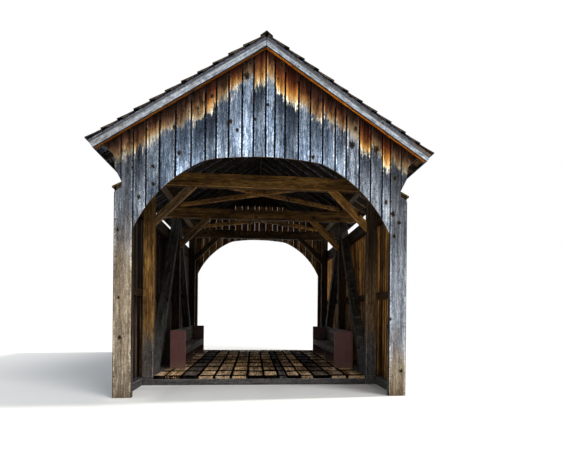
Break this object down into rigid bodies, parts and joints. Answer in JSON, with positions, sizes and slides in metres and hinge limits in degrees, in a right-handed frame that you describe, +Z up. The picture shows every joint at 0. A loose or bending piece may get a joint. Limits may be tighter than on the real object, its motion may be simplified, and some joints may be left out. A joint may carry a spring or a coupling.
{
  "type": "small timber covered bridge",
  "caption": "Short wooden covered bridge on king-post trusses, with arched portals, boarded sides, a light strip under the eaves, a shake roof, a plank deck and benches.",
  "frame": {"origin": "on the centre line, halfway along the bridge, at the level where the portal legs meet the ground", "axes": "+Z up, +Y along the bridge from the front portal to the rear portal, +X across it to the right"},
  "size_m": [5.8046, 10.8, 6.0978],
  "materials": {
    "weathered_boards": "weathered",
    "rake_wood": "weathered",
    "fresh_wood": "rough sawn",
    "frame_timber": "rough sawn",
    "ledge_wood": "weathered",
    "roof_shakes": "weathered",
    "deck_planks": "worn",
    "painted_wood": "painted",
    "bench_wood": "worn"
  },
  "bodies": {
    "root": {"bottom_chords": "frame_timber", "deck": "deck_planks", "eave_fascias": "rake_wood", "floor_joists": "frame_timber", "fly_rafters": "fresh_wood", "front_knee_braces": "frame_timber", "front_lateral_braces": "frame_timber", "front_portal_frame": "frame_timber", "front_portal_siding": "weathered_boards", "front_posts": "frame_timber", "front_rake_boards": "rake_wood", "front_tie_beam": "frame_timber", "king_posts": "frame_timber", "left_bench_apron": "bench_wood", "left_bench_back": "bench_wood", "left_bench_ends": "painted_wood", "left_bench_seat": "bench_wood", "left_rafters": "frame_timber", "left_roof_shakes": "roof_shakes", "left_roof_sheathing": "fresh_wood", "left_truss_braces": "frame_timber", "left_wall_ledge": "ledge_wood", "left_wall_plate": "frame_timber", "left_wall_rails": "frame_timber", "left_wall_siding": "weathered_boards", "middle_knee_braces": "frame_timber", "middle_tie_beam": "frame_timber", "rear_knee_braces": "frame_timber", "rear_lateral_braces": "frame_timber", "rear_portal_frame": "frame_timber", "rear_portal_siding": "weathered_boards", "rear_posts": "frame_timber", "rear_rake_boards": "rake_wood", "rear_tie_beam": "frame_timber", "ridge_board": "frame_timber", "ridge_cap": "roof_shakes", "right_bench_apron": "bench_wood", "right_bench_back": "bench_wood", "right_bench_ends": "painted_wood", "right_bench_seat": "bench_wood", "right_rafters": "frame_timber", "right_roof_shakes": "roof_shakes", "right_roof_sheathing": "fresh_wood", "right_truss_braces": "frame_timber", "right_wall_ledge": "ledge_wood", "right_wall_plate": "frame_timber", "right_wall_rails": "frame_timber", "right_wall_siding": "weathered_boards"}
  },
  "joints": []
}
